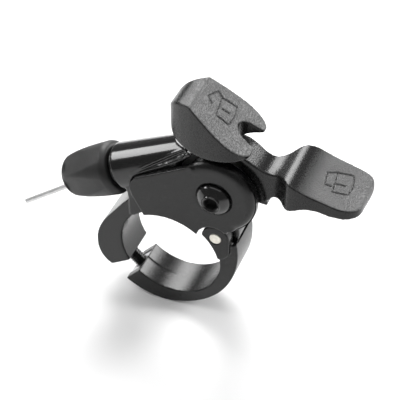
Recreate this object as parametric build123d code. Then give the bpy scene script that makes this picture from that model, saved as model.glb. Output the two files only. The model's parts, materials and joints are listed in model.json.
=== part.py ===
from build123d import *
from math import cos, degrees, hypot, radians, sin
import os

# Two-lever bar remote. +Y runs along the handlebar, +Z is up, +X is the lever side and the cable leaves
# towards -X. The origin is the centre of the bar clamp's bore, at the middle of its width. Millimetres.

# Bar clamp
BAR_R = 11.1                      # 22.2 mm bar
RING_Y = (-4.6, 4.6)              # the clamp ring's two faces
ARM_END = 212.0                   # where the fixed arm ends, degrees round the bore
STRAP_END = 228.0                 # where the strap ends
HINGE = (10.5, 8.4)               # hinge pin's centre, X and Z
PIN_R = 1.25
EAR_R = 3.0
KNUCKLE_R = 4.1
KNUCKLE_Y = (-3.1, 3.0)
EAR_FRONT_Y = (-5.9, -3.3)
EAR_BACK_Y = (3.2, 4.6)
EAR_ROOM_R = 3.75
SWING_ROOM_R = 4.35               # the strap's seat under the knuckle

THROUGH = (-9.0, 9.0)             # a span of Y that passes through every piece

# Clamp bolt: its axis passes square to the line from the hinge, so the strap swings off it
BOLT_FOOT_ANGLE = 236.0
BOLT_FOOT_R = 13.5
BOLT_SHANK_R = 1.5
BOLT_HOLE_R = 1.7
BOLT_TIP = -2.4                   # along the bolt from its foot, positive towards the head
BOLT_SEAT = 9.1
WASHER_T = 0.4
BOLT_HEAD = (2.5, 2.8)            # radius and height
BOLT_KEY = (1.44, 1.5)            # the head's hexagonal socket: corner radius and depth
WASHER_R = 2.7
HEAD_ROOM_R = 2.9
NUT_SIZE = (5.4, 4.0, 1.9)        # along Y, across the strap, along the bolt
NUT_FOOT = -0.2                   # where the nut starts along the bolt
NUT_PLAY = 0.05

# Housing and pivot
PIVOT = (10.5, 19.8)
PLATE_Y = (-6.9, -5.3)
HOUSING_Y = (-5.3, 4.6)
CAVITY_Y = (-5.3, 2.5)
CAVITY_R = 9.4
KNUCKLE_WALL_R = 4.7
PAWL_ROOM = (0.6, 17.4, 3.4)      # X, Z and radius
PAWL_ROOM_Y = (-5.3, -1.6)
ROUND_END_R = 8.45
FLAT_TOP = 28.2                   # the tube's top is cut flat here, under the release lever
PLATE_GAP = 0.3                   # the cover and the ears stop this far short of the bar
DOWELS = ((-5.2, 15.6), (-0.8, 12.9))
DOWEL_R = 0.9
DOWEL_Y = (-6.2, -3.5)

# Pivot stack, front to back
RELEASE_Y = (-5.2, -3.6)
THRUST_Y = (-3.55, -3.25)
RATCHET_Y = (-3.2, -2.4)
SPOOL_Y = (-2.4, 0.0)
HUB_Y = (0.0, 2.0)
WAVE_Y = (2.1, 2.4)
LEVER_Y = -1.2                    # the cable's and the levers' middle plane
SHANK_R = 2.0
SHANK_TIP_Y = 7.6
HEAD_R = 4.0                      # the pivot bolt's domed head
HEAD_SINK = 0.3                   # how deep it sits in the cover
HEAD_RIM = 0.8
HEAD_ROOM = 0.25
DOME = 1.7
KEY = (1.5, 1.6)                  # its hexagonal socket: corner radius and depth
PIVOT_NUT_R = 4.04
PIVOT_NUT_Y = (4.6, 7.2)
SLEEVE_Y = (-5.25, 2.45)
SLEEVE_R = 3.0
RUNNING = 0.05                    # radial clearance of a running fit
HUB_R = 6.2
SPOOL_HUB_R = 6.6
SPOOL_R = 8.9
SPOOL_SECTOR = (78.0, 172.0)
GROOVE_R = 7.1
GROOVE_Y = (-2.0, -0.4)
RATCHET_R = (6.4, 7.4)
RATCHET_SECTOR = (150.0, 245.0)
NOTCH_ANGLE = 230.0
SPRING_ROOM_R = 4.5
THRUST_R = 5.4
WAVE_R = 5.6
WASHER_PLAY = 0.02
RIVET_CIRCLE = 5.2
RIVET_ANGLES = (20.0, 300.0)
RIVET_R = 0.65
NIPPLE_CIRCLE = 7.3
NIPPLE_ANGLE = 86.0
NIPPLE_R = 1.3
NIPPLE_Y = (-2.2, 0.0)
WRAP_START = 112.0
RELEASE_HUB_R = 6.0
CAM_R = 7.5
CAM_SECTOR = (165.0, 180.0)

# Cable line: straight, at a fixed distance from the pivot
CABLE_ANGLE = 28.0
CABLE_R = 7.95
WIRE_R = 0.55
TUBE_MOUTH = 20.36                # back along the cable from where it meets the spool
TUBE_R = (4.94, 4.06)
SCREW_R = 2.9
SCREW_SPAN = (13.6, 27.0)
COLLAR_SPAN = (20.45, 21.3)
COLLAR_R = 4.3
KNOB_SPAN = (21.4, 34.4)
KNOB_FLATS = 10.6
SOCKET_R = 2.6
SOCKET_DEPTH = 6.0
WIRE_BORE_R = 0.9
SPRING_BORE = (2.35, 9.8)         # radius, and where it starts back along the cable
ADJUSTER_SPRING = (1.7, 10.2)
WIRE_SPLIT = 28.0                 # the wire is straight up to here and droops beyond
WIRE_EDGE = (-22.95, -2.35, 9.45)  # where the wire rests on the socket's rim
WIRE_END = (-33.93, -3.6, 1.97)

# Pawl
PAWL_PIN = (0.9, 16.9)
PAWL_PIN_R = 0.8
PAWL_TIP = (2.45, 18.3)

os.makedirs("parts", exist_ok=True)


def polar(radius, angle, centre=(0.0, 0.0)):
    """A point round a centre, as X and Z."""
    a = radians(angle)
    return (centre[0] + radius * cos(a), centre[1] + radius * sin(a))


def slab(face, span):
    """A face drawn in X and Z, as a solid between two Y values."""
    return Pos(0, span[1], 0) * extrude(Plane.XZ * face, span[1] - span[0])


def disc(centre, radius, span):
    return slab(Pos(*centre) * Circle(radius), span)


def ring(centre, outer, inner, span):
    return slab(Pos(*centre) * (Circle(outer) - Circle(inner)), span)


def outline(*points):
    return make_face(Polyline(*points, close=True))


def sector(centre, radius, start, stop):
    """A pie slice between two angles, as a face."""
    steps = max(2, round((stop - start) / 30))
    reach = radius / cos(radians((stop - start) / steps / 2)) + 0.01
    rim = [polar(reach, start + (stop - start) * i / steps, centre) for i in range(steps + 1)]
    return outline(centre, *rim) & (Pos(*centre) * Circle(radius))


def hull(*circles):
    """The outline round a few circles given as X, Z and radius."""
    edges = [edge for x, z, r in circles for edge in (Pos(x, z) * Circle(r)).edges()]
    return make_hull(edges)


def lathe(plane, points):
    """A turned solid: points are distance along the plane's normal, and radius."""
    return plane * revolve(Plane.XZ * outline(*[(r, h) for h, r in points]), Axis.Z)


def coil(radius, wire, y0, length, turns, centre):
    """A coil spring about a line along Y."""
    path = Helix(length / turns, length, radius)
    start = Plane(origin=path @ 0, z_dir=path % 0)
    spring = sweep(start * Circle(wire), path=path, is_frenet=True)
    return Pos(centre[0], y0, centre[1]) * Rot(-90, 0, 0) * spring


def cable_plane(back):
    """A plane square to the cable, facing out along it, at a distance back from the spool."""
    a = radians(CABLE_ANGLE)
    x = PIVOT[0] - CABLE_R * sin(a) - back * cos(a)
    z = PIVOT[1] + CABLE_R * cos(a) - back * sin(a)
    return Plane(origin=(x, LEVER_Y, z), x_dir=(0, 1, 0), z_dir=(-cos(a), 0, -sin(a)))


def bolt_plane(along):
    """A plane square to the clamp bolt, facing its head."""
    foot = polar(BOLT_FOOT_R, BOLT_FOOT_ANGLE)
    reach = (foot[0] - HINGE[0], foot[1] - HINGE[1])
    size = hypot(*reach)
    u = (reach[1] / size, -reach[0] / size)
    origin = (foot[0] + u[0] * along, 0, foot[1] + u[1] * along)
    return Plane(origin=origin, x_dir=(0, 1, 0), z_dir=(u[0], 0, u[1]))


def rod(plane, radius, length):
    return plane * Cylinder(radius, length, align=(Align.CENTER, Align.CENTER, Align.MIN))


BORE = Circle(BAR_R)
RIVETS = [polar(RIVET_CIRCLE, angle, PIVOT) for angle in RIVET_ANGLES]
NIPPLE = polar(NIPPLE_CIRCLE, NIPPLE_ANGLE, PIVOT)

# ---- faces shared by several pieces ----


def plate_face():
    """The cover's outline: a straight-edged left part that ends in a round boss about the pivot."""
    shape = outline(
        (-4.7, 10.4), (-7.2, 15.0), (-7.8, 16.8), (-7.6, 17.9), (-6.4, 19.75), (-0.9, 22.8), (5.4, 26.25),
        PIVOT, (14.4, 13.3), (13.2, 11.6), (12.0, 9.0), (6.9, 8.6), (0.0, 9.0),
    )
    shape += Pos(*PIVOT) * Circle(ROUND_END_R)
    return shape - Circle(BAR_R + PLATE_GAP) - Pos(*HINGE) * Circle(EAR_ROOM_R)


def housing_face():
    """The body's outline behind the cover, a little larger all round."""
    left = outline(
        (-8.6, 8.0), (-8.75, 12.6), (-9.6, 17.4), (-7.9, 20.4), (-1.2, 24.0), (4.6, FLAT_TOP),
        PIVOT, (14.4, 13.4), (13.2, 11.6), (12.0, 9.0), (6.9, 8.6), (0.0, 9.0),
    )
    return left + Pos(*PIVOT) * Circle(ROUND_END_R + 0.15) - BORE


def arm_face():
    """The fixed half of the clamp ring: thin at the top, thick where the bolt's head sits."""
    rim = [
        (14.6, 120), (14.4, 136), (14.5, 151), (15.6, 167), (16.8, 182), (17.3, 192), (17.3, 201),
        (16.2, ARM_END),
    ]
    points = [polar(r, a) for r, a in rim]
    curve = Spline(*points)
    sides = Polyline(points[-1], (0, 0), points[0])
    return make_face(curve + sides) - BORE


def strap_face():
    """The swinging half of the clamp ring."""
    rim = [
        (15.65, STRAP_END), (15.2, 247), (14.7, 265), (14.0, 283), (13.6, 304), (13.6, 322), (14.0, 345),
        (14.65, 361),
    ]
    points = [polar(r, a) for r, a in rim]
    top = (14.6, 7.0)
    curve = Spline(*points, top)
    sides = Polyline(top, (0, 0), points[0])
    return make_face(curve + sides) - BORE


def ear_face():
    return hull((*HINGE, EAR_R), (12.3, 5.0, 1.1), (11.5, 4.0, 1.1)) - Circle(BAR_R + PLATE_GAP)


# ---- housing pieces ----


def body():
    solid = slab(housing_face(), HOUSING_Y) + slab(arm_face(), RING_Y)
    solid += slab(Pos(*HINGE) * Circle(KNUCKLE_R) - BORE, KNUCKLE_Y)
    root = 2.0
    tube = cable_plane(root) * Cone(
        TUBE_R[1], TUBE_R[0], TUBE_MOUTH - root, align=(Align.CENTER, Align.CENTER, Align.MIN)
    )
    solid += tube - slab(plate_face(), (THROUGH[0], PLATE_Y[1]))
    solid -= slab(BORE, THROUGH)
    pocket = Pos(*PIVOT) * Circle(CAVITY_R) - Pos(*HINGE) * Circle(KNUCKLE_WALL_R)
    solid -= slab(pocket, (CAVITY_Y[0] - 2.0, CAVITY_Y[1]))
    solid -= disc(PAWL_ROOM[:2], PAWL_ROOM[2], (PAWL_ROOM_Y[0] - 1.0, PAWL_ROOM_Y[1]))
    solid -= slab(Pos(12.0, FLAT_TOP + 5.0) * Rectangle(24.0, 10.0), THROUGH)
    for span in ((THROUGH[0], KNUCKLE_Y[0]), (KNUCKLE_Y[1], THROUGH[1])):
        solid -= disc(HINGE, EAR_ROOM_R, span)
    solid -= disc(HINGE, PIN_R + RUNNING, THROUGH)
    solid -= disc(PIVOT, SHANK_R + RUNNING, (0, THROUGH[1]))
    solid -= rod(cable_plane(-2.0), WIRE_BORE_R + 0.1, TUBE_MOUTH + 4)
    solid -= rod(cable_plane(SPRING_BORE[1]), SPRING_BORE[0], TUBE_MOUTH)
    solid -= rod(cable_plane(SCREW_SPAN[0] - 0.3), SCREW_R + RUNNING, TUBE_MOUTH)
    solid -= disc(PAWL_PIN, PAWL_PIN_R, (PAWL_ROOM_Y[1] - 1.0, PAWL_ROOM_Y[1] + 2.0))
    for spot in DOWELS:
        solid -= disc(spot, DOWEL_R, DOWEL_Y)
    solid -= rod(bolt_plane(2.0), BOLT_HOLE_R, 12.0)
    solid -= rod(bolt_plane(BOLT_SEAT), HEAD_ROOM_R, 12.0)
    return solid


def cover_plate():
    solid = slab(plate_face(), PLATE_Y)
    solid -= disc(PIVOT, SHANK_R + RUNNING, (THROUGH[0], 0))
    solid -= disc(PIVOT, HEAD_R + HEAD_ROOM, (PLATE_Y[0] - 1.0, PLATE_Y[0] + HEAD_SINK))
    for spot in DOWELS:
        solid -= disc(spot, DOWEL_R, DOWEL_Y)
    return solid


def cover_dowels():
    return [disc(spot, DOWEL_R, DOWEL_Y) for spot in DOWELS]


def pivot_bolt():
    """Dome-head bolt that carries the whole stack."""
    seat = PLATE_Y[0] + HEAD_SINK
    ball = (HEAD_R**2 + DOME**2) / (2 * DOME)
    apex = seat - HEAD_RIM - DOME
    dome = Pos(PIVOT[0], apex + ball, PIVOT[1]) * Sphere(ball)
    dome &= disc(PIVOT, HEAD_R, (apex - 1.0, seat - HEAD_RIM))
    solid = dome + disc(PIVOT, HEAD_R, (seat - HEAD_RIM, seat)) + disc(PIVOT, SHANK_R, (seat, SHANK_TIP_Y))
    corner_r, depth = KEY
    return solid - slab(Pos(*PIVOT) * RegularPolygon(corner_r, 6), (apex - 1.0, apex + depth))


def pivot_nut():
    return slab(Pos(*PIVOT) * (RegularPolygon(PIVOT_NUT_R, 6) - Circle(SHANK_R)), PIVOT_NUT_Y)


def pivot_sleeve():
    return ring(PIVOT, SLEEVE_R, SHANK_R + RUNNING, SLEEVE_Y)


# ---- levers ----


def main_profile():
    """Side view of the main lever's arm and pad."""
    top = Spline(
        (13.0, 30.5), (16.8, 28.7), (20.5, 27.35), (22.5, 27.8), (24.6, 28.85), (28.5, 28.0), (34.0, 26.9),
        (38.6, 26.75),
    )
    nose = ThreePointArc((38.6, 26.75), (39.9, 26.1), (39.0, 24.9))
    under = Spline(
        (39.0, 24.9), (33.1, 24.3), (28.2, 23.8), (25.0, 22.4), (22.4, 22.4), (20.5, 20.6), (19.2, 19.9),
        (18.2, 20.6),
    )
    inner = Polyline((18.2, 20.6), (15.5, 19.0), (15.0, 22.0), (12.0, 24.5), (13.0, 30.5))
    return make_face(top + nose + under + inner)


def main_plan():
    """The main lever from above, as X and Y."""
    edge = Spline(
        (10.0, 1.7), (18.4, 1.6), (20.5, 1.7), (22.2, 2.8), (24.3, 4.7), (27.4, 5.85), (31.0, 5.65),
        (36.0, 4.7), (38.9, 3.1), (39.9, 0.0), (39.6, -4.0), (38.9, -7.0), (37.4, -8.0), (32.0, -8.0),
        (27.5, -8.0), (25.4, -7.6), (23.9, -6.0), (22.0, -4.6), (20.0, -4.2), (17.5, -4.15), (10.0, -4.1),
    )
    return make_face(edge + Polyline((10.0, -4.1), (10.0, 1.7)))


def above(face, low, high):
    """A face drawn in X and Y, as a solid between two heights."""
    return Pos(0, 0, low) * extrude(face, high - low)


def main_lever():
    """One piece: the hub between the washers, the arm over the cavity's edge and the pad."""
    paddle = slab(main_profile(), THROUGH) & above(main_plan(), 10, 40)
    paddle -= disc(PIVOT, CAVITY_R + 0.3, (THROUGH[0], HUB_Y[0]))
    behind_hub = disc(PIVOT, 20.0, (HUB_Y[1] - 0.3, THROUGH[1]))
    paddle -= behind_hub & above(Pos(5, 0) * Rectangle(29.0, 20.0), 10, 40)
    hub = disc(PIVOT, HUB_R, HUB_Y)
    spoke = slab(outline((14.0, 15.6), (19.0, 20.2), (18.4, 26.0), (13.6, 29.4), (8.6, 25.4)), HUB_Y)
    solid = paddle + hub + spoke
    solid -= disc(PIVOT, SLEEVE_R + RUNNING, THROUGH)
    for spot in RIVETS:
        solid -= disc(spot, RIVET_R, THROUGH)
    return solid


def hub_rivets():
    return [disc(spot, RIVET_R, (RATCHET_Y[0], HUB_Y[1])) for spot in RIVETS]


def cable_spool():
    face = Pos(*PIVOT) * Circle(SPOOL_HUB_R) + sector(PIVOT, SPOOL_R, *SPOOL_SECTOR)
    solid = slab(face, SPOOL_Y) - ring(PIVOT, 12.0, GROOVE_R, GROOVE_Y)
    solid -= disc(PIVOT, SPRING_ROOM_R, SPOOL_Y)
    solid -= disc(NIPPLE, NIPPLE_R, NIPPLE_Y)
    for spot in RIVETS:
        solid -= disc(spot, RIVET_R, SPOOL_Y)
    return solid


def cable_nipple():
    return disc(NIPPLE, NIPPLE_R, NIPPLE_Y)


def wire_wrap():
    """The stretch of wire that lies on the spool and turns with it."""
    stop = NIPPLE_ANGLE + degrees((NIPPLE_R + 0.15) / CABLE_R)
    a, b, c = (polar(CABLE_R, angle, PIVOT) for angle in (WRAP_START, (WRAP_START + stop) / 2, stop))
    path = ThreePointArc((a[0], LEVER_Y, a[1]), (b[0], LEVER_Y, b[1]), (c[0], LEVER_Y, c[1]))
    return sweep(Plane(origin=path @ 0, z_dir=path % 0) * Circle(WIRE_R), path=path)


def ratchet_plate():
    face = Pos(*PIVOT) * Circle(RATCHET_R[0]) + sector(PIVOT, RATCHET_R[1], *RATCHET_SECTOR)
    face -= Pos(*polar(7.6, NOTCH_ANGLE, PIVOT)) * Rot(0, 0, NOTCH_ANGLE + 20) * Rectangle(2.2, 1.6)
    face -= Pos(*PIVOT) * Circle(SLEEVE_R + RUNNING)
    for spot in RIVETS:
        face -= Pos(*spot) * Circle(RIVET_R)
    return slab(face, RATCHET_Y)


def release_profile():
    """Side view of the release lever's pad block."""
    return make_face(
        Polyline((5.6, 41.0), (17.0, 32.25))
        + ThreePointArc((17.0, 32.25), (17.25, 31.75), (16.8, 31.5))
        + Spline(
            (16.8, 31.5), (14.3, 31.35), (10.3, 30.6), (5.2, 30.5), (2.4, 31.8), (1.0, 34.6), (1.1, 37.6)
        )
        + Spline((1.1, 37.6), (2.2, 39.4), (5.6, 41.0))
    )


def release_plan():
    """The release pad from above, as X and Y, with the hook-shaped notch on its lever side."""
    hook = Polyline((17.3, 2.2), (15.6, 1.45))
    return make_face(
        Spline(
            (15.6, 1.45), (14.2, 0.8), (13.3, -0.5), (13.2, -1.6), (14.2, -3.0), (15.5, -3.4), (17.3, -3.4)
        )
        + Spline(
            (17.3, -3.4), (17.5, -4.8), (16.4, -7.2), (14.3, -8.5), (11.8, -8.7), (8.0, -8.0), (4.0, -6.6),
            (1.6, -4.4), (0.9, -1.4), (1.6, 0.9), (3.6, 2.3), (6.4, 3.5), (10.6, 4.8), (14.6, 5.2),
            (16.8, 4.2), (17.3, 2.2),
        )
        + hook
    )


def release_lever():
    """Hub, follower cam and stem in one plane, and the pad block above them."""
    block = slab(release_profile(), (-10, 7)) & above(release_plan(), 25, 45)
    hub = disc(PIVOT, RELEASE_HUB_R, RELEASE_Y)
    cam = slab(sector(PIVOT, CAM_R, *CAM_SECTOR), RELEASE_Y)
    stem = slab(outline((7.6, 22.0), (7.0, 31.4), (11.6, 31.4), (12.4, 22.5)), RELEASE_Y)
    return block + hub + cam + stem - disc(PIVOT, SLEEVE_R + RUNNING, THROUGH)


# ---- latch ----


def latch_pawl():
    face = hull((*PAWL_PIN, 1.6), (*PAWL_TIP, 0.4)) + hull((*PAWL_PIN, 1.0), (-1.0, 17.9, 0.6))
    solid = slab(face, (RATCHET_Y[0], RATCHET_Y[1] - 0.05)) + disc(PAWL_TIP, 0.4, (-4.6, RATCHET_Y[0]))
    return solid - disc(PAWL_PIN, PAWL_PIN_R + RUNNING, THROUGH)


def pawl_pin():
    return disc(PAWL_PIN, PAWL_PIN_R, (-5.0, PAWL_ROOM_Y[1] + 2.0))


# ---- cable side ----


def inner_wire():
    """The straight stretch, from the spool out to the adjuster."""
    return rod(cable_plane(0.0), WIRE_R, WIRE_SPLIT)


def wire_tail():
    """The free end: it leans on the edge of the adjuster's socket and droops beyond it."""
    start = cable_plane(WIRE_SPLIT)
    points = (start.origin, start.origin + start.z_dir * 1.5, WIRE_EDGE, WIRE_END)
    route = FilletPolyline(*points, radius=(5.0, 12.0))
    return sweep(Plane(origin=route @ 0, z_dir=route % 0) * Circle(WIRE_R), path=route)


def adjuster_screw():
    low, high = SCREW_SPAN
    bore = rod(cable_plane(low - 1), WIRE_BORE_R, high - low + 2)
    return rod(cable_plane(low), SCREW_R, high - low) - bore


def adjuster_collar():
    low, high = COLLAR_SPAN
    bore = rod(cable_plane(low - 1), SCREW_R + RUNNING, high - low + 2)
    return rod(cable_plane(low), COLLAR_R, high - low) - bore


def barrel_adjuster():
    """Finger barrel: six flats, a rounded nose, and the socket that takes the cable housing."""
    low, high = KNOB_SPAN
    length = high - low
    outer = [(0, 4.8), (0.7, 5.6), (6.5, 5.65), (9.5, 5.2), (11.4, 4.6), (12.5, 3.9), (length, 3.3)]
    shape = lathe(cable_plane(low), [(0, 0), *outer, (length, 0)])
    hexagon = RegularPolygon(KNOB_FLATS / 2, 6, major_radius=False)
    solid = shape & cable_plane(low - 1) * extrude(hexagon, length + 2)
    solid -= rod(cable_plane(low - 1), SCREW_R, SCREW_SPAN[1] - low + 1)
    solid -= rod(cable_plane(low - 1), WIRE_BORE_R, length + 2)
    return solid - rod(cable_plane(high - SOCKET_DEPTH), SOCKET_R, SOCKET_DEPTH + 1)


def adjuster_spring():
    coil_r, start = ADJUSTER_SPRING
    path = Helix(0.9, 2.7, coil_r)
    spring = sweep(Plane(origin=path @ 0, z_dir=path % 0) * Circle(0.25), path=path, is_frenet=True)
    return cable_plane(start) * spring


# ---- clamp pieces ----


def clamp_strap():
    solid = slab(strap_face(), RING_Y)
    solid += slab(ear_face(), EAR_FRONT_Y) + slab(ear_face(), EAR_BACK_Y)
    room = Pos(*HINGE) * Circle(SWING_ROOM_R)
    solid -= slab(room, (EAR_FRONT_Y[1], EAR_BACK_Y[0]))
    solid -= disc(HINGE, PIN_R, THROUGH)
    solid -= rod(bolt_plane(-3.0), BOLT_HOLE_R, 8.0)
    along_y, across, thick = NUT_SIZE
    beyond = 4.0                  # the pocket is open towards the bolt's head and on its outer side
    size = (along_y + 2 * NUT_PLAY, across + NUT_PLAY + beyond, thick + beyond)
    pocket = Box(*size, align=(Align.CENTER, Align.MIN, Align.MIN))
    return solid - bolt_plane(NUT_FOOT) * Pos(0, -across / 2 - NUT_PLAY, 0) * pocket


def clamp_nut():
    along_y, across, thick = NUT_SIZE
    plane = bolt_plane(NUT_FOOT)
    block = plane * Box(along_y, across, thick, align=(Align.CENTER, Align.CENTER, Align.MIN))
    return block - rod(plane, BOLT_HOLE_R, 8.0)


def clamp_bolt():
    radius, height = BOLT_HEAD
    corner_r, depth = BOLT_KEY
    seat = BOLT_SEAT + WASHER_T + WASHER_PLAY
    solid = rod(bolt_plane(BOLT_TIP), BOLT_SHANK_R, seat - BOLT_TIP) + rod(bolt_plane(seat), radius, height)
    return solid - bolt_plane(seat + height - depth) * extrude(RegularPolygon(corner_r, 6), 2 * depth)


def clamp_washer():
    plane = bolt_plane(BOLT_SEAT)
    return rod(plane, WASHER_R, WASHER_T) - rod(plane, BOLT_SHANK_R + RUNNING, 2.0)


def hinge_pin():
    return disc(HINGE, PIN_R, (EAR_FRONT_Y[0], EAR_BACK_Y[1]))


NODES = {
    "body": body(),
    "cover_plate": cover_plate(),
    "cover_dowels": cover_dowels(),
    "pivot_bolt": pivot_bolt(),
    "pivot_nut": pivot_nut(),
    "pivot_sleeve": pivot_sleeve(),
    "thrust_washer": ring(PIVOT, THRUST_R, SLEEVE_R + WASHER_PLAY, THRUST_Y),
    "wave_washer": ring(PIVOT, WAVE_R, SLEEVE_R + WASHER_PLAY, WAVE_Y),
    "return_spring": coil(3.85, 0.27, -2.0, 1.6, 2.4, PIVOT),
    "main_lever": main_lever(),
    "cable_spool": cable_spool(),
    "ratchet_plate": ratchet_plate(),
    "hub_rivets": hub_rivets(),
    "cable_nipple": cable_nipple(),
    "wire_wrap": wire_wrap(),
    "release_lever": release_lever(),
    "latch_pawl": latch_pawl(),
    "pawl_pin": pawl_pin(),
    "pawl_spring": coil(1.25, 0.12, -2.2, 0.5, 1.6, PAWL_PIN),
    "inner_wire": inner_wire(),
    "wire_tail": wire_tail(),
    "adjuster_screw": adjuster_screw(),
    "adjuster_collar": adjuster_collar(),
    "adjuster_spring": adjuster_spring(),
    "barrel_adjuster": barrel_adjuster(),
    "clamp_strap": clamp_strap(),
    "hinge_pin": hinge_pin(),
    "clamp_bolt": clamp_bolt(),
    "clamp_nut": clamp_nut(),
    "clamp_washer": clamp_washer(),
}

for name, shape in NODES.items():
    export_step(Compound(shape) if isinstance(shape, list) else shape, f"parts/{name}.step")
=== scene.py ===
import json
from math import atan2, cos, degrees, exp, hypot, pi, radians, sin, sqrt, tau

import bmesh
import bpy
from mathutils import Matrix, Vector


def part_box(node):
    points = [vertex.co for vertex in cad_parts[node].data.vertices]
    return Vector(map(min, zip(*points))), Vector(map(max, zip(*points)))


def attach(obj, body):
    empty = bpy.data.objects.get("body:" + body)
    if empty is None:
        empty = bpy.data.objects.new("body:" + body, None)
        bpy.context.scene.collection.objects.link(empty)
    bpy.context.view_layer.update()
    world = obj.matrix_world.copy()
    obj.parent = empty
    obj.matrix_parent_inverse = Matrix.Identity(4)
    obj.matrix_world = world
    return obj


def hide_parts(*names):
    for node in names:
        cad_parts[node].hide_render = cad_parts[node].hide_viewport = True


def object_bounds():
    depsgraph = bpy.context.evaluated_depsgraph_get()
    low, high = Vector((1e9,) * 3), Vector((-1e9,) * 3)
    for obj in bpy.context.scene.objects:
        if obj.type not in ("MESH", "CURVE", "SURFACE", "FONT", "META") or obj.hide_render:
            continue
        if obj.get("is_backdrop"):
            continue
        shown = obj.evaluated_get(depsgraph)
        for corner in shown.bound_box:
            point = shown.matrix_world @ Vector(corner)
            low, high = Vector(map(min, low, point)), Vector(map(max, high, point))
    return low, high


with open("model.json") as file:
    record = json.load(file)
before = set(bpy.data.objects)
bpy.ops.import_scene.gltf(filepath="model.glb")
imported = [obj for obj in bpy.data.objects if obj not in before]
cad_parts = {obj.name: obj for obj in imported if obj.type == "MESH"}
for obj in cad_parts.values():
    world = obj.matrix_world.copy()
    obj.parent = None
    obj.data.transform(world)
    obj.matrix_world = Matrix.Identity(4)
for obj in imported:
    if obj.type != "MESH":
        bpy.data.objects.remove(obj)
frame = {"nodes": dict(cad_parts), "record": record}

bl_info = {
    "name": "Two-lever bar remote",
    "version": (1, 0, 0),
    "blender": (4, 5, 0),
    "location": "View3D > Sidebar > Bar remote",
    "description": "Finished shells, levers, fasteners and cable for a bar remote's packed frame",
    "category": "Object",
}

MM = 0.001
ALONG_BAR = Vector((0, 1, 0))
PIVOT = (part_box("pivot_sleeve")[0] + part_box("pivot_sleeve")[1]) / 2     # the levers' axis
HINGE = (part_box("hinge_pin")[0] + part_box("hinge_pin")[1]) / 2           # the strap's pin
CABLE_ANGLE = radians(28)
CABLE_OUT = Vector((-cos(CABLE_ANGLE), 0, -sin(CABLE_ANGLE)))           # the way the cable leaves
CABLE_SIDE = Vector((-sin(CABLE_ANGLE), 0, cos(CABLE_ANGLE)))           # up, square to the cable
CABLE_R = 7.95 * MM                                                     # from the pivot to the cable's line
LEVER_Y = -1.2 * MM                                                     # the levers' and the cable's middle plane
CABLE_START = Vector((PIVOT.x, LEVER_Y, PIVOT.z)) + CABLE_SIDE * CABLE_R
KNOB_START = 21.4 * MM                                                  # the barrel's foot, along the cable
TUBE_FOOT = CABLE_START.dot(CABLE_SIDE) / MM - 5.2                      # the tube's underside, along CABLE_SIDE
BOLT_ANGLE = radians(236)
BOLT_FOOT = Vector((cos(BOLT_ANGLE), 0, sin(BOLT_ANGLE))) * 13.5 * MM   # where the bolt crosses the clamp's gap
BOLT_OUT = ALONG_BAR.cross(BOLT_FOOT - Vector((HINGE.x, 0, HINGE.z))).normalized()
FLATS = 6                                                               # round the barrel and in the sockets
FLUTE_TIP = 16.4                                                        # the flute's point, in mm along the cable
FLUTE_ROUND = 3.1                                                       # where its round end begins
FLUTE_DEPTH = 0.6
FLUTE_RIDGE, RIDGE_SPREAD = 0.13, 0.2                                   # its raised edges
BOSS_R, BOSS_ROLL = 8.45, 2.0                                           # the cover's edge round the pivot
FINISHES = {}                                                           # material by slot, once they are made


def about(axis_point, z_axis, y_hint=ALONG_BAR):
    """The matrix that stands a piece drawn about its own Z on a point, facing along z_axis."""
    z = z_axis.normalized()
    x = y_hint.cross(z).normalized()
    y = z.cross(x)
    return Matrix.Translation(axis_point) @ Matrix((x, y, z)).transposed().to_4x4()


# ---- materials ----


class Number:
    """A socket that carries a number, so that shader maths reads as Python."""

    def __init__(self, finish, socket):
        self.finish, self.socket = finish, socket

    def maths(self, operation, *values):
        return self.finish.node("ShaderNodeMath", {"operation": operation}, dict(enumerate(values)))

    def __add__(self, other):
        return self.maths("ADD", self, other)

    def __sub__(self, other):
        return self.maths("SUBTRACT", self, other)

    def __rsub__(self, other):
        return self.maths("SUBTRACT", other, self)

    def __mul__(self, other):
        return self.maths("MULTIPLY", self, other)

    def ramp(self, low, high, start=0.0, end=1.0):
        """This number taken smoothly from start at low to end at high, and held beyond them."""
        values = {"Value": self, "From Min": low, "From Max": high, "To Min": start, "To Max": end}
        return self.finish.node("ShaderNodeMapRange", {"interpolation_type": "SMOOTHSTEP"}, values)

    __radd__ = __add__
    __rmul__ = __mul__


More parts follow.
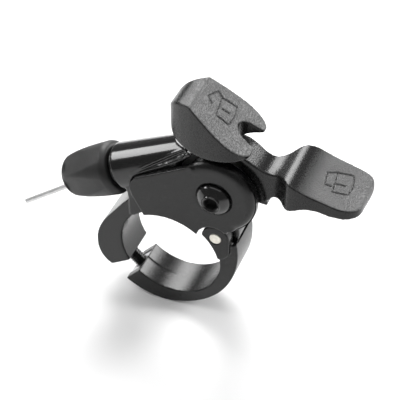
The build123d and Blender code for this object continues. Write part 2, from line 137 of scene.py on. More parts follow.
class Finish:
    """A material in the making: node() adds a node and gives its output."""

    def __init__(self, name):
        self.material = bpy.data.materials.new(name + "_finish")
        self.material.use_nodes = True
        self.tree = self.material.node_tree
        self.tree.nodes.clear()
        self.place = self.node("ShaderNodeTexCoord", output="Object")

    def node(self, kind, settings=None, values=None, output=0):
        made = self.tree.nodes.new(kind)
        for name, value in (settings or {}).items():
            setattr(made, name, value)
        for name, value in (values or {}).items():
            if isinstance(value, Number):
                self.tree.links.new(value.socket, made.inputs[name])
            else:
                made.inputs[name].default_value = value
        return Number(self, made.outputs[output])

    def noise(self, per_mm, detail=3.0):
        """Grain with a number of grains to the millimetre."""
        values = {"Vector": self.place, "Scale": per_mm / MM, "Detail": detail, "Roughness": 0.55}
        return self.node("ShaderNodeTexNoise", values=values)

    def pebbles(self, per_mm):
        """Distance from the nearest of many scattered points: a leathery moulded grain."""
        values = {"Vector": self.place, "Scale": per_mm / MM, "Randomness": 1.0}
        return self.node("ShaderNodeTexVoronoi", {"feature": "F1"}, values, "Distance")

    def axis(self, name):
        """One object coordinate, in millimetres."""
        return self.node("ShaderNodeSeparateXYZ", values={"Vector": self.place}, output=name) * (1 / MM)

    def facing(self, direction):
        """How far the surface faces a direction of the object, from -1 to 1."""
        normal = self.node("ShaderNodeTexCoord", output="Normal")
        values = {0: normal, 1: direction}
        return self.node("ShaderNodeVectorMath", {"operation": "DOT_PRODUCT"}, values, "Value")

    def mix(self, factor, first, second):
        """A colour between two colours."""
        settings = {"data_type": "RGBA"}
        values = {"Factor": factor, 6: first, 7: second}
        return self.node("ShaderNodeMix", settings, values, 2)

    def bump(self, height, depth):
        """Relief of a depth in metres."""
        return self.node("ShaderNodeBump", values={"Height": height, "Strength": 1.0, "Distance": depth})

    def surface(self, specular_ior_level=0.5, **values):
        """Ends the material in a shader with these values, named as its sockets are."""
        values["specular_ior_level"] = specular_ior_level
        named = {name.replace("_", " ").title().replace("Ior", "IOR"): v for name, v in values.items()}
        shader = self.node("ShaderNodeBsdfPrincipled", values=named)
        end = self.tree.nodes.new("ShaderNodeOutputMaterial")
        self.tree.links.new(shader.socket, end.inputs["Surface"])
        return self.material


def shade(value, tint=(1.0, 1.0, 1.0)):
    """A grey as a colour, with a slight tint."""
    return (value * tint[0], value * tint[1], value * tint[2], 1.0)


def gloss_paint(name, base, rough, arm_rough):
    """Black enamel on a casting: glossy on the tube, satin lower down where the clamp ring begins."""
    f = Finish(name)
    orange_peel = f.noise(0.9, detail=2.0)
    dust = f.noise(6.0, detail=4.0)
    values = {0: f.place, 1: CABLE_SIDE}
    height = f.node("ShaderNodeVectorMath", {"operation": "DOT_PRODUCT"}, values, "Value") * (1 / MM)
    lower = height.ramp(TUBE_FOOT - 1.2, TUBE_FOOT + 1.2, 1.0, 0.0)
    sheen = lower * (arm_rough - rough) + rough + (dust - 0.5) * 0.06
    colour = f.mix(f.noise(0.35).ramp(0.3, 0.7), shade(base * 0.8), shade(base * 1.25))
    relief = f.bump(orange_peel * 0.5 + dust * lower * 0.7, 0.014 * MM)
    coat = lower * -0.35 + 0.45
    return f.surface(base_color=colour, roughness=sheen, normal=relief, coat_weight=coat, coat_roughness=0.06,
                     specular_ior_level=0.4)


def satin_paint(name, base, rough):
    """Satin black with a very fine spatter."""
    f = Finish(name)
    spatter = f.noise(9.0, detail=3.0)
    broad = f.noise(0.5, detail=2.0)
    colour = f.mix(broad.ramp(0.3, 0.7), shade(base * 0.85), shade(base * 1.2))
    sheen = (spatter - 0.5) * 0.16 + (broad - 0.5) * 0.1 + rough
    return f.surface(base_color=colour, roughness=sheen, normal=f.bump(spatter, 0.02 * MM), specular_ior_level=0.4)


def grained_moulding(name, base, top_rough, side_rough):
    """Grained dark grey on the faces a thumb touches, lightened there by painted light; smoother, and darkened by
    painted shade, on the side walls.
    """
    f = Finish(name)
    thumb_end = f.axis("X").ramp(26.5, 31.0)
    upper = f.axis("Z").ramp(29.5, 31.0)
    top = f.facing((0.45, -0.1, 0.9)).ramp(0.6, 0.85) * (1 - (1 - thumb_end) * (1 - upper))
    grain = f.pebbles(3.2).ramp(0.1, 0.75, 1.0, 0.0)
    wear = f.noise(0.25, detail=4.0).ramp(0.35, 0.7)
    # Painted light and shade: faces turned up on the pads get 5.5 times the base grey, the walls half of it.
    colour = f.mix(top, shade(base * 0.5), shade(base * 5.5))
    speckled = f.mix(grain * top * 0.35, colour, shade(base))
    wear_and_painted_light = f.mix(wear * top * 0.3, speckled, shade(base * 8.0))
    relief = f.bump(grain * (top * 0.85 + 0.15) + f.noise(9.0) * top * 0.3, 0.06 * MM)
    rough = top * (top_rough - side_rough) + side_rough - grain * 0.06
    return f.surface(base_color=wear_and_painted_light, roughness=rough, normal=relief, specular_ior_level=0.36)


def moulded_plastic(name, base, rough):
    """Even fine-grained plastic, a little smoother and lighter where it is handled."""
    f = Finish(name)
    grain = f.noise(5.0, detail=4.0)
    handling = f.noise(0.3, detail=3.0).ramp(0.35, 0.7)
    colour = f.mix(handling, shade(base * 0.85), shade(base * 1.3))
    return f.surface(base_color=colour, roughness=(grain - 0.5) * 0.2 + rough - handling * 0.05,
                     normal=f.bump(grain, 0.03 * MM))


def turned_metal(name, colour, rough):
    """Bare metal with fine tool marks and a few darker stains."""
    f = Finish(name)
    lay = f.noise(14.0, detail=2.0)
    stain = f.noise(0.8, detail=3.0).ramp(0.35, 0.75)
    tone = f.mix(stain * 0.5, (*colour, 1.0), (*(c * 0.7 for c in colour), 1.0))
    return f.surface(base_color=tone, metallic=1.0, roughness=(lay - 0.5) * 0.2 + stain * 0.08 + rough,
                     normal=f.bump(lay, 0.008 * MM))


def blackened_steel(name, base, rough):
    """Polished black steel, dull down the pivot bolt's socket, where painted shade darkens it."""
    f = Finish(name)
    handling = f.noise(1.2, detail=4.0).ramp(0.4, 0.7)
    grain = f.noise(10.0)
    flat = f.node("ShaderNodeVectorMath", {"operation": "MULTIPLY"}, {0: f.place, 1: (1, 0, 1)}, "Vector")
    values = {0: flat, 1: (PIVOT.x, 0, PIVOT.z)}
    from_pivot = f.node("ShaderNodeVectorMath", {"operation": "DISTANCE"}, values, "Value") * (1 / MM)
    # Painted shade: within 1.4 mm of the pivot the colour goes down to 0.3 of the base; the same mask also dulls
    # the roughness and coat.
    painted_socket_shade = from_pivot.ramp(1.4, 1.62, 1.0, 0.0)
    tone = f.mix(handling * 0.4, shade(base), shade(base * 2.2, (1.0, 0.97, 0.93)))
    socket_painted_shade_tone = f.mix(painted_socket_shade, tone, shade(base * 0.3))
    sheen = handling * 0.1 + (grain - 0.5) * 0.06 + painted_socket_shade * 0.6 + rough
    return f.surface(base_color=socket_painted_shade_tone, roughness=sheen, normal=f.bump(grain, 0.003 * MM),
                     coat_weight=painted_socket_shade * -0.35 + 0.35, coat_roughness=0.05)


def make_finishes(look):
    """Every material slot of the record, by name."""
    return {
        "gloss_black": gloss_paint("gloss_black", look.gloss, look.gloss_rough, look.satin_rough),
        "satin_black": satin_paint("satin_black", look.satin, look.satin_rough),
        "lever_grain": grained_moulding("lever_grain", look.grip, look.grip_rough, look.side_rough),
        "matte_black": moulded_plastic("matte_black", look.knob, look.knob_rough),
        "black_oxide": blackened_steel("black_oxide", look.oxide, look.oxide_rough),
        "steel": turned_metal("steel", (0.5, 0.5, 0.52), 0.3),
        "pin_steel": turned_metal("pin_steel", (0.83, 0.8, 0.72), 0.32),
        "spring_steel": turned_metal("spring_steel", (0.4, 0.4, 0.42), 0.28),
        "wire": turned_metal("wire", (0.62, 0.62, 0.62), 0.3),
        "aluminium": turned_metal("aluminium", (0.6, 0.61, 0.62), 0.35),
        "brass": turned_metal("brass", (0.66, 0.48, 0.2), 0.3),
        "nylon": moulded_plastic("nylon", 0.5, 0.5),
    }


class MakeFinishes(bpy.types.Operator):
    """Every finish of the part, one for each material slot"""

    bl_idname = "bar_remote.finishes"
    bl_label = "Finishes"

    def execute(self, context):
        FINISHES.update(make_finishes(context.scene.remote_look))
        return {"FINISHED"}


# ---- mesh work ----


def cad_skin(*nodes):
    """CAD nodes' triangles, merged into a closed skin."""
    bm = bmesh.new()
    for node in nodes:
        bm.from_mesh(frame["nodes"][node].data)
    bmesh.ops.remove_doubles(bm, verts=bm.verts, dist=0.002 * MM)
    return bm


def to_mesh(bm, name):
    """What bm holds as a mesh; bm is used up."""
    mesh = bpy.data.meshes.new(name)
    bm.to_mesh(mesh)
    bm.free()
    return mesh


def evaluated(mesh, name, modifiers):
    """A mesh after modifiers, given as type and settings."""
    carrier = bpy.data.objects.new(name, mesh)
    bpy.context.scene.collection.objects.link(carrier)
    for kind, settings in modifiers:
        modifier = carrier.modifiers.new(kind.lower(), kind)
        for key, value in settings.items():
            setattr(modifier, key, value)
    depsgraph = bpy.context.evaluated_depsgraph_get()
    made = bpy.data.meshes.new_from_object(carrier.evaluated_get(depsgraph))
    bpy.data.objects.remove(carrier)
    return made


def relax(bm, verts, passes):
    """Evens out a skin between some of its points."""
    for _ in range(passes):
        bmesh.ops.smooth_vert(bm, verts=verts, factor=0.5, use_axis_x=True, use_axis_y=True, use_axis_z=True)


def soften(bm, name, voxel, passes):
    """One rounded skin over everything in bm, as a moulding or a casting has. Its grid is worked out in mm."""
    bmesh.ops.scale(bm, vec=(1 / MM,) * 3, verts=bm.verts)
    mesh = evaluated(to_mesh(bm, name), name, [("REMESH", {"mode": "VOXEL", "voxel_size": voxel / MM})])
    skin = bmesh.new()
    skin.from_mesh(mesh)
    relax(skin, skin.verts, passes)
    bmesh.ops.scale(skin, vec=(MM,) * 3, verts=skin.verts)
    return skin


def rounded(bm, name, width):
    """The same skin with its sharp edges rolled over."""
    bmesh.ops.dissolve_limit(bm, angle_limit=radians(0.8), verts=bm.verts, edges=bm.edges)
    settings = {
        "width": width, "segments": 3, "limit_method": "ANGLE", "angle_limit": radians(35),
        "use_clamp_overlap": False, "harden_normals": False, "miter_outer": "MITER_SHARP",
    }
    mesh = evaluated(to_mesh(bm, name), name, [("BEVEL", settings)])
    made = bmesh.new()
    made.from_mesh(mesh)
    bpy.data.meshes.remove(mesh)
    return made


def line_through(points, closed=False):
    """A mesh that holds only a line from point to point, ready to be spun."""
    bm = bmesh.new()
    verts = [bm.verts.new(point) for point in points]
    for a, b in zip(verts, verts[1:] + (verts[:1] if closed else [])):
        bm.edges.new((a, b))
    return bm


def capped(bm):
    """Closes the two ends of a spun wall."""
    bmesh.ops.holes_fill(bm, edges=[edge for edge in bm.edges if edge.is_boundary], sides=4)
    bmesh.ops.recalc_face_normals(bm, faces=bm.faces)
    return bm


def turned(profile, place, steps, shaping):
    """A lathe shape in mm: profile is radius and height, shaping moves its points, place stands it up."""
    bm = line_through([(r, 0, h) for r, h in profile])
    bmesh.ops.spin(
        bm, geom=bm.verts[:] + bm.edges[:], cent=(0, 0, 0), axis=(0, 0, 1), angle=tau,
        steps=steps, use_merge=True,
    )
    bmesh.ops.remove_doubles(bm, verts=bm.verts, dist=0.001)
    for vert in bm.verts:
        shaping(vert)
    bmesh.ops.transform(bm, matrix=place @ Matrix.Scale(MM, 4), verts=bm.verts)
    bmesh.ops.recalc_face_normals(bm, faces=bm.faces)
    return bm


def fine(profile, longest):
    """The same profile with no run longer than a length."""
    points = [profile[0]]
    for a, b in zip(profile, profile[1:]):
        run, rise = b[0] - a[0], b[1] - a[1]
        pieces = max(1, round(hypot(run, rise) / longest))
        points += [(a[0] + run * i / pieces, a[1] + rise * i / pieces) for i in range(1, pieces + 1)]
    return points


def smooth_step(value, low, high):
    """0 up to low, 1 from high on, and a smooth rise between them."""
    t = max(0.0, min(1.0, (value - low) / (high - low)))
    return t * t * (3 - 2 * t)


def to_flats(vert, sides, apothem, offset, amount=1.0):
    """Moves a lathe point in towards a polygon's sides."""
    radius = hypot(vert.co.x, vert.co.y)
    turn = tau / sides
    off_centre = (atan2(vert.co.y, vert.co.x) - offset + turn / 2) % turn - turn / 2
    wanted = apothem / cos(off_centre)
    if radius > wanted:
        pulled = radius + (wanted - radius) * amount
        vert.co.x *= pulled / radius
        vert.co.y *= pulled / radius


def hex_socket(above, within, apothem, offset):
    """Shaping that gives a lathe shape's socket its six flats: the points above a height, within a radius."""

    def shaping(vert):
        if vert.co.z > above and hypot(vert.co.x, vert.co.y) < within:
            to_flats(vert, FLATS, apothem, offset)

    return shaping


def thread(start, pitch, turns, root, crest, steps=24):
    """A screw thread's ridge, in mm about its own Z."""
    flank = ((root, 0), (crest, pitch * 0.42), (crest, pitch * 0.56), (root, pitch))
    bm = line_through([(r, 0, start + h) for r, h in flank], closed=True)
    bmesh.ops.spin(
        bm, geom=bm.verts[:] + bm.edges[:], cent=(0, 0, 0), axis=(0, 0, 1), dvec=(0, 0, pitch / steps),
        angle=tau * turns, steps=steps * turns, use_merge=False,
    )
    return capped(bm)


def joined(first, second):
    """Two shapes as one mesh."""
    mesh = to_mesh(second, "added")
    first.from_mesh(mesh)
    bpy.data.meshes.remove(mesh)
    return first


def finish_piece(bm, name, body, node, slot, flat=False, smooth_below=40):
    """Makes the object, with its place in the frame and its finish, and hides the CAD node it stands for."""
    mesh = to_mesh(bm, name)
    mesh.shade_smooth()
    mesh.set_sharp_from_angle(angle=radians(smooth_below))
    piece = bpy.data.objects.new(name, mesh)
    bpy.context.scene.collection.objects.link(piece)
    mesh.materials.append(FINISHES[slot])
    if flat:
        even = piece.modifiers.new("even_faces", "WEIGHTED_NORMAL")
        even.keep_sharp = True
    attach(piece, body)
    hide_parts(node)


def engrave(bm, strokes, origin, along, across, width, depth):
    """Presses lines into a skin: strokes are polylines in mm, in the face's own two directions."""
    reach = 2.5 * MM        # only this near to the face's plane
    up = along.cross(across).normalized()
    if up.z < 0:
        up.negate()
    spans = [
        (Vector(a) * MM, Vector(b) * MM) for stroke in strokes for a, b in zip(stroke, stroke[1:])
    ]
    bm.normal_update()
    for vert in bm.verts:
        if vert.normal.dot(up) < 0.5:
            continue
        place = vert.co - origin
        point = Vector((place.dot(along), place.dot(across)))
        if abs(place.dot(up)) > reach:
            continue
        near = min(distance_to_span(point, a, b) for a, b in spans)
        if near < width:
            vert.co -= up * depth * 0.5 * (1 + cos(pi * near / width))


def distance_to_span(point, a, b):
    """How far a point is from the straight line between two others."""
    step = b - a
    along = max(0.0, min(1.0, (point - a).dot(step) / step.length_squared))
    return (point - a - step * along).length


def arc_points(a, b, bulge, steps=6):
    """Points from a to b along an arc that stands out by bulge at its middle."""
    a, b = Vector(a), Vector(b)
    side = Vector((b.y - a.y, a.x - b.x)).normalized()
    return [
        tuple(a.lerp(b, i / steps) + side * bulge * sin(pi * i / steps)) for i in range(steps + 1)
    ]


# ---- what a user may change ----


def length(name, description, default):
    """A size that a user may change."""
    return bpy.props.FloatProperty(
        name=name, description=description, default=default, subtype="DISTANCE", unit="LENGTH", precision=5
    )


def share(name, description, default):
    """A number from 0 to 1 that a user may change."""
    return bpy.props.FloatProperty(name=name, description=description, default=default, min=0.0, max=1.0)


class RemoteLook(bpy.types.PropertyGroup):
    """How dark and how glossy each finish is."""

    gloss: share("Enamel", "Grey level of the glossy casting", 0.004)
    gloss_rough: share("Enamel roughness", "Roughness of the cable tube", 0.2)
    satin: share("Satin", "Grey level of the satin parts", 0.006)
    satin_rough: share("Satin roughness", "Roughness of the cover, arm and strap", 0.25)
    grip: share("Lever", "Grey level of the levers", 0.016)
    grip_rough: share("Thumb face roughness", "Roughness of the grained faces", 0.42)
    side_rough: share("Lever side roughness", "Roughness of the levers' walls", 0.28)
    knob: share("Barrel", "Grey level of the barrel adjuster", 0.008)
    knob_rough: share("Barrel roughness", "Roughness of the barrel adjuster", 0.48)
    oxide: share("Blackened steel", "Grey level of the bolts", 0.004)
    oxide_rough: share("Bolt roughness", "Roughness of the bolts", 0.14)


class RemoteShape(bpy.types.PropertyGroup):
    """Sizes that only the look depends on."""

    fine_skin: length("Fine skin", "Grid that the levers' skins are rounded on", 0.17 * MM)
    broad_skin: length("Broad skin", "Grid that the casting's skin is rounded on", 0.2 * MM)
    line_width: length("Engraved line", "Half width of the padlock lines", 0.3 * MM)
    line_depth: length("Engraving depth", "How deep the padlock lines are pressed", 0.26 * MM)
    thread_pitch: length("Thread pitch", "Pitch of the clamp bolt's thread", 0.5 * MM)


class RemoteStage(bpy.types.PropertyGroup):
    """The camera, the floor and the lights."""

    lens: bpy.props.FloatProperty(name="Lens", description="Focal length", default=108.0, unit="CAMERA")
    elevation: bpy.props.FloatProperty(
        name="Elevation", description="Camera's height", default=radians(41.37), subtype="ANGLE"
    )
    azimuth: bpy.props.FloatProperty(
        name="Azimuth", description="Camera's turn about the part", default=radians(22.17), subtype="ANGLE"
    )
    distance: length("Distance", "Camera to the bar's axis", 249.7 * MM)
    beside: length("Beside", "How far the picture's centre is beside the bar's axis", 6.25 * MM)
    above: length("Above", "How far the picture's centre is above the bar's axis", 10.77 * MM)
    floor: share("Floor", "Grey level of the floor", 0.9)
    side: bpy.props.FloatProperty(name="Side", description="Power of the soft light on the cable side", default=0.8)
    back: bpy.props.FloatProperty(name="Back", description="Power of the soft light behind", default=4.2)
    top: bpy.props.FloatProperty(name="Top", description="Power of the dim wide light overhead", default=2.6)
    sky: bpy.props.FloatProperty(name="Sky", description="Strength of the light all round", default=0.22)


# ---- levers ----


class BuildReleaseLever(bpy.types.Operator):
    """The release lever: a moulded block with an open padlock pressed into its thumb face"""

    bl_idname = "bar_remote.release_lever"
    bl_label = "Release lever"

    def execute(self, context):
        shape = context.scene.remote_shape
        bm = soften(cad_skin("release_lever"), "release_lever_skin", shape.fine_skin, 6)
        low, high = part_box("release_lever")
        longer = 0.9 * MM
        for vert in bm.verts:
            vert.co.x -= longer * smooth_step((low.x - vert.co.x) / MM, -4.5, -0.5)
        slope = Vector((11.4, 0, -8.75)).normalized()
        origin = Vector((low.x + 4.6 * MM, 0, high.z))
        shackle = [(3.29, -2.13), (1.95, -1.29), (3.09, 1.69), (4.45, 1.06)]
        bow = arc_points((7.8, 1.95), (8.2, -3.45), -0.45)
        lock = [(4.48, 1.06), *bow, (5.29, -3.73), (4.48, 1.06)]
        engrave(bm, [shackle, lock, [(5.63, -1.34), (7.2, -0.9)]], origin, slope, ALONG_BAR,
                shape.line_width, shape.line_depth)
        finish_piece(bm, "release_pad", "release_lever", "release_lever", "lever_grain")
        return {"FINISHED"}


def pivot_web(radii, span, angles):
    """A wall part of the way round the pivot: two radii, two Y values and two angles, in mm and degrees."""
    start = radians(angles[0])
    corners = [(radii[0], span[0]), (radii[1], span[0]), (radii[1], span[1]), (radii[0], span[1])]
    bm = line_through(
        [(PIVOT.x + r * cos(start) * MM, y * MM, PIVOT.z + r * sin(start) * MM) for r, y in corners], closed=True
    )
    bmesh.ops.spin(
        bm, geom=bm.verts[:] + bm.edges[:], cent=PIVOT, axis=-ALONG_BAR, angle=radians(angles[1] - angles[0]),
        steps=16, use_merge=False,
    )
    return capped(bm)


class BuildMainLever(bpy.types.Operator):
    """The push lever: hub, arm and a crowned pad with a closed padlock pressed into it"""

    bl_idname = "bar_remote.main_lever"
    bl_label = "Push lever"

    def execute(self, context):
        shape = context.scene.remote_shape
        web = pivot_web((7.9, 10.0), (-4.0, 0.3), (-4, 58))
        bm = soften(joined(cad_skin("main_lever"), web), "main_lever_skin", shape.fine_skin, 6)
        origin = Vector((28.5 * MM, 0, 28.0 * MM))
        along = Vector((10.1, 0, -1.25)).normalized()
        shackle = [(3.98, -2.8), (2.68, -2.81), (2.16, 0.34), (3.88, 1.47)]
        bow = arc_points((6.92, 2.04), (7.44, -3.69), -0.45)
        lock = [(3.94, 1.47), *bow, (4.54, -4.17), (3.94, 1.47)]
        engrave(bm, [shackle, lock, [(4.6, -1.68), (6.44, -1.42)]], origin, along, ALONG_BAR,
                shape.line_width, shape.line_depth)
        finish_piece(bm, "push_lever", "main_lever", "main_lever", "lever_grain")
        return {"FINISHED"}


# ---- casting, cover and pivot ----


def press_flute(bm):
    """A long teardrop hollow between the cable tube and the cover, with raised edges."""
    moved = []
    for vert in bm.verts:
        place = (vert.co - CABLE_START) / MM
        back, height, out = place.dot(CABLE_OUT), place.dot(CABLE_SIDE), -place.y
        radius = hypot(height, out)
        if not (1.2 < back < FLUTE_TIP and 3.4 < radius < 5.6):
            continue
        from_tip = FLUTE_TIP - back
        upper, lower = 84.0 - 2.61 * from_tip, 88.0 - 1.2 * from_tip        # its sides, in degrees round the tube
        middle, half = (upper + lower) / 2, max((lower - upper) / 2, 0.5)
        across = (degrees(atan2(out, height)) - middle) / half
        reach = hypot(across, max(0.0, FLUTE_ROUND - back))                 # 1 on the flute's outline
        half_width = radians(half) * radius
        ridge = FLUTE_RIDGE * exp(-(((reach - 1) * half_width / RIDGE_SPREAD) ** 2))
        hollow = FLUTE_DEPTH * min(1.0, half_width) * smooth_step(1 - reach, 0.0, 0.55)
        vert.co += (CABLE_SIDE * height - ALONG_BAR * out) / radius * (ridge - hollow) * MM
        if reach < 1.6:
            moved.append(vert)
    relax(bm, moved, 3)


class BuildCasting(bpy.types.Operator):
    """The body casting with its cable tube, the flute beside it and the fixed clamp arm"""

    bl_idname = "bar_remote.casting"
    bl_label = "Casting"

    def execute(self, context):
        shape = context.scene.remote_shape
        bm = soften(cad_skin("body"), "casting_skin", shape.broad_skin, 4)
        press_flute(bm)
        finish_piece(bm, "casting", "housing", "body", "gloss_black")
        return {"FINISHED"}


def draw_in_recess(bm):
    """Brings the wall of the recess for the bolt's head in close round the dome."""
    for vert in bm.verts:
        if vert.co.y / MM > -6.3:
            continue
        x, z = vert.co.x - PIVOT.x, vert.co.z - PIVOT.z
        radius = hypot(x, z) / MM
        pull = 0.5 * smooth_step(radius, 2.6, 4.1) * (1 - smooth_step(radius, 4.3, 6.2))
        if pull:
            vert.co.x -= x / radius * pull
            vert.co.z -= z / radius * pull


def roll_boss(bm, radius, roll):
    """Rolls the cover's front edge over where it runs round the pivot."""
    for vert in bm.verts:
        x, z = (vert.co.x - PIVOT.x) / MM, (vert.co.z - PIVOT.z) / MM
        out, angle = hypot(x, z), degrees(atan2(z, x))
        if vert.co.y / MM > -6.0 or out < radius - roll:
            continue
        amount = smooth_step(angle, -66, -52) * (1 - smooth_step(angle, 122, 129))
        over = min(1.0, (out - (radius - roll)) / roll)
        vert.co.y += (1 - sqrt(1 - over * over)) * 0.8 * roll * amount * MM


class BuildCover(bpy.types.Operator):
    """The cover plate, with a rolled edge that grows wide round the pivot"""

    bl_idname = "bar_remote.cover"
    bl_label = "Cover plate"

    def execute(self, context):
        bm = soften(cad_skin("cover_plate"), "cover_skin", context.scene.remote_shape.fine_skin, 5)
        draw_in_recess(bm)
        roll_boss(bm, BOSS_R, BOSS_ROLL)
        finish_piece(bm, "cover", "housing", "cover_plate", "satin_black")
        return {"FINISHED"}


class BuildPivot(bpy.types.Operator):
    """The pivot bolt: a polished dome with a hexagonal socket in a raised ring, and its shank"""

    bl_idname = "bar_remote.pivot"
    bl_label = "Pivot bolt"

    def execute(self, context):
        seat, tip, head_r = 6.6, -7.6, 3.5
        dome_r, middle = 4.6, 4.3       # the dome's own radius, and the height of its centre
        crown = [(r, middle + sqrt(dome_r ** 2 - r * r)) for r in (3.42, 3.2, 2.9, 2.5, 2.2, 2.02)]
        ring = [(1.93, 8.55), (1.86, 8.66), (1.75, 8.68), (1.66, 8.6), (1.54, 8.42)]
        socket = [(1.5, 8.3), (1.5, 7.25), (1.2, 7.1), (0, 6.95)]
        profile = [
            (0, tip), (1.7, tip), (2.0, tip + 0.3), (2.0, seat), (3.3, seat), (head_r, seat + 0.15),
            (head_r, 7.1), *crown, *ring, *socket,
        ]
        place = about(Vector((PIVOT.x, 0, PIVOT.z)), -ALONG_BAR, Vector((0, 0, 1)))
        bm = turned(profile, place, 96, hex_socket(7.0, 1.55, 1.3, 0.3))
        finish_piece(bm, "pivot_dome_bolt", "housing", "pivot_bolt", "black_oxide", smooth_below=32)
        return {"FINISHED"}


# ---- cable side ----


class BuildAdjuster(bpy.types.Operator):
    """The barrel adjuster: six flats cut into a tapered barrel with a rounded nose, and the collar behind it"""

    bl_idname = "bar_remote.adjuster"
    bl_label = "Barrel adjuster"

    def execute(self, context):
        outer = [
            (4.55, 0.0), (5.0, 0.12), (5.3, 0.45), (5.55, 0.95), (5.68, 1.5), (5.72, 2.6), (5.68, 5.4), (5.55, 7.4),
            (5.3, 9.0), (4.98, 10.4), (4.6, 11.5), (4.2, 12.2), (3.8, 12.65), (3.4, 12.92), (3.1, 13.0),
        ]
        inner = [(2.75, 12.95), (2.6, 12.75), (2.6, 7.0), (0.9, 6.9), (0.9, 5.65), (2.9, 5.6), (2.9, 0.0)]

        def scallop(vert):
            if hypot(vert.co.x, vert.co.y) > 4.4:
                depth = smooth_step(vert.co.z, 1.35, 1.75)
                to_flats(vert, FLATS, 5.6 - 0.011 * vert.co.z ** 2, radians(-31), depth)

        place = about(CABLE_START + CABLE_OUT * KNOB_START, CABLE_OUT)
        bm = turned(fine([*outer, *inner, outer[0]], 0.3), place, 144, scallop)
        finish_piece(bm, "barrel", "adjuster", "barrel_adjuster", "matte_black", smooth_below=50)
        bm = rounded(cad_skin("adjuster_collar"), "collar", 0.15 * MM)
        finish_piece(bm, "collar", "adjuster_slide", "adjuster_collar", "satin_black", flat=True)
        return {"FINISHED"}


# ---- clamp ----


def strap_line(bm, width, depth):
    """The parting line that runs round the inside of the strap from its free end."""
    for vert in bm.verts:
        x, z = vert.co.x / MM, vert.co.z / MM
        radius, angle = hypot(x, z), degrees(atan2(z, x)) % 360
        if radius > 11.7 or not 225 < angle < 275:
            continue
        fade = 1 - smooth_step(angle, 255, 272)
        near = abs(vert.co.y / MM)
        step = -0.07 * smooth_step(vert.co.y / MM, -width, width)
        groove = depth * max(0.0, 1 - near / width)
        vert.co += Vector((x, 0, z)) / radius * (groove + step) * fade * MM


class BuildClamp(bpy.types.Operator):
    """The swinging half of the clamp, its threaded bolt, captive nut and hinge pin"""

    bl_idname = "bar_remote.clamp"
    bl_label = "Clamp"

    def execute(self, context):
        shape = context.scene.remote_shape
        bm = soften(cad_skin("clamp_strap"), "strap_skin", shape.fine_skin, 4)
        strap_line(bm, 0.22, 0.12)
        finish_piece(bm, "strap", "strap", "clamp_strap", "satin_black")
        place = about(BOLT_FOOT, BOLT_OUT)
        pitch = shape.thread_pitch / MM
        root = [(0, -2.4), (1.05, -2.4), (1.22, -2.2), (1.22, 6.6), (1.48, 6.8), (1.48, 9.45)]
        head = [(2.3, 9.5), (2.5, 9.7), (2.5, 11.9), (2.25, 12.25), (1.62, 12.3)]
        socket = [(1.44, 12.1), (1.44, 10.9), (0, 10.7)]
        bm = turned(root + head + socket, place, 72, hex_socket(10.5, 1.5, 1.25, 0.0))
        ridge = thread(-2.3, pitch, int(8.6 / pitch), 1.2, 1.5)
        bmesh.ops.transform(ridge, matrix=place @ Matrix.Scale(MM, 4), verts=ridge.verts)
        bm = joined(bm, ridge)
        finish_piece(bm, "clamp_screw", "clamp_bolt", "clamp_bolt", "black_oxide", smooth_below=32)
        bm = rounded(cad_skin("clamp_nut"), "nut", 0.14 * MM)
        finish_piece(bm, "nut", "strap", "clamp_nut", "steel", flat=True)
        bm = rounded(cad_skin("hinge_pin"), "pin", 0.2 * MM)
        finish_piece(bm, "pin", "strap", "hinge_pin", "pin_steel", flat=True)
        return {"FINISHED"}


class BuildInside(bpy.types.Operator):
    """Finishes for the working parts that keep their drawn shape"""

    bl_idname = "bar_remote.inside"
    bl_label = "Working parts"

    def execute(self, context):
        slots = {part["node"]: part["material_slot"] for part in frame["record"]["subparts"]}
        for name, node in frame["nodes"].items():
            if not node.hide_render:
                node.data.materials.clear()
                node.data.materials.append(FINISHES[slots[name]])
        return {"FINISHED"}


# ---- stage ----


def area_light(name, place, target, size, power):
    """A soft box that faces the part."""
    data = bpy.data.lights.new(name, "AREA")
    data.shape = "RECTANGLE"
    data.size, data.size_y = size
    data.energy = power
    light = bpy.data.objects.new(name, data)
    bpy.context.scene.collection.objects.link(light)
    light.location = place
    light.rotation_mode = "QUATERNION"
    light.rotation_quaternion = (target - place).to_track_quat("-Z", "Y")


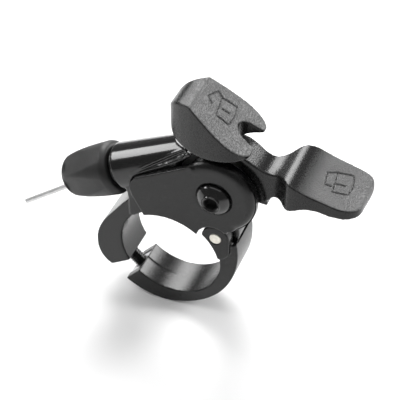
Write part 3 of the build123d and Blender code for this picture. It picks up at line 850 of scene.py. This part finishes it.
class BuildStage(bpy.types.Operator):
    """Camera, pale floor and soft studio light"""

    bl_idname = "bar_remote.stage"
    bl_label = "Stage"

    def execute(self, context):
        stage = context.scene.remote_stage
        rise, turn = stage.elevation, stage.azimuth
        forward = Vector((-sin(turn) * cos(rise), cos(turn) * cos(rise), -sin(rise)))
        right = Vector((cos(turn), sin(turn), 0))
        upward = right.cross(forward)
        data = bpy.data.cameras.new("camera")
        data.lens = stage.lens
        data.sensor_width = 36.0
        data.clip_start = 0.01
        camera = bpy.data.objects.new("camera", data)
        context.scene.collection.objects.link(camera)
        aim = right * stage.beside + upward * stage.above - ALONG_BAR * 4.6 * MM
        camera.location = aim - forward * stage.distance
        camera.rotation_mode = "QUATERNION"
        camera.rotation_quaternion = Matrix((right, upward, -forward)).transposed().to_quaternion()
        context.scene.camera = camera

        low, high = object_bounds()
        bm = bmesh.new()
        bmesh.ops.create_grid(bm, x_segments=1, y_segments=1, size=3.0)
        bmesh.ops.translate(bm, vec=(0, 0, low.z - 0.05 * MM), verts=bm.verts)
        floor = bpy.data.objects.new("floor", to_mesh(bm, "floor"))
        context.scene.collection.objects.link(floor)
        f = Finish("floor")
        tone = f.mix(f.noise(0.002, detail=2.0), shade(stage.floor * 0.99), shade(stage.floor))
        floor.data.materials.append(f.surface(base_color=tone, roughness=0.7))
        floor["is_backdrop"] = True

        world = bpy.data.worlds.new("world")
        context.scene.world = world
        world.use_nodes = True
        backdrop = world.node_tree.nodes["Background"]
        backdrop.inputs["Color"].default_value = (1, 1, 1, 1)
        seen = world.node_tree.nodes.new("ShaderNodeLightPath")
        strength = world.node_tree.nodes.new("ShaderNodeMath")
        strength.operation = "MAXIMUM"
        strength.inputs[1].default_value = stage.sky
        world.node_tree.links.new(seen.outputs["Is Camera Ray"], strength.inputs[0])
        world.node_tree.links.new(strength.outputs[0], backdrop.inputs["Strength"])
        centre = (low + high) / 2
        area_light("side_box", centre + Vector((-0.44, -0.05, 0.265)), centre, (0.3, 0.08), stage.side)
        area_light("back_box", centre + Vector((-0.24, 0.44, 0.4)), centre, (0.36, 0.36), stage.back)
        area_light("far_box", centre + Vector((0.42, 0.44, 0.26)), centre, (0.3, 0.34), stage.back)
        area_light("top_box", centre + Vector((0, 0.02, 0.7)), centre, (0.9, 0.9), stage.top)
        context.scene.view_settings.view_transform = "Standard"
        return {"FINISHED"}


class RemotePanel(bpy.types.Panel):
    """Every piece's button, and the sizes and shades they use"""

    bl_idname = "VIEW3D_PT_bar_remote"
    bl_label = "Bar remote"
    bl_space_type = "VIEW_3D"
    bl_region_type = "UI"
    bl_category = "Bar remote"

    def draw(self, context):
        column = self.layout.column(align=True)
        for operator in OPERATORS:
            column.operator(operator.bl_idname)
        for group in (context.scene.remote_shape, context.scene.remote_look, context.scene.remote_stage):
            for name in group.__annotations__:
                self.layout.prop(group, name)


OPERATORS = (
    MakeFinishes, BuildReleaseLever, BuildMainLever, BuildCasting, BuildCover, BuildPivot, BuildAdjuster,
    BuildClamp, BuildInside, BuildStage,
)
GROUPS = {"remote_look": RemoteLook, "remote_shape": RemoteShape, "remote_stage": RemoteStage}


def register():
    for made in (*GROUPS.values(), *OPERATORS, RemotePanel):
        bpy.utils.register_class(made)
    for name, group in GROUPS.items():
        setattr(bpy.types.Scene, name, bpy.props.PointerProperty(type=group))


def unregister():
    for name in GROUPS:
        delattr(bpy.types.Scene, name)
    for made in (RemotePanel, *reversed(OPERATORS), *GROUPS.values()):
        bpy.utils.unregister_class(made)


def main():
    register()
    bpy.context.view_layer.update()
    for operator in OPERATORS:
        group, name = operator.bl_idname.split(".")
        getattr(getattr(bpy.ops, group), name)()


if __name__ == "__main__":
    main()
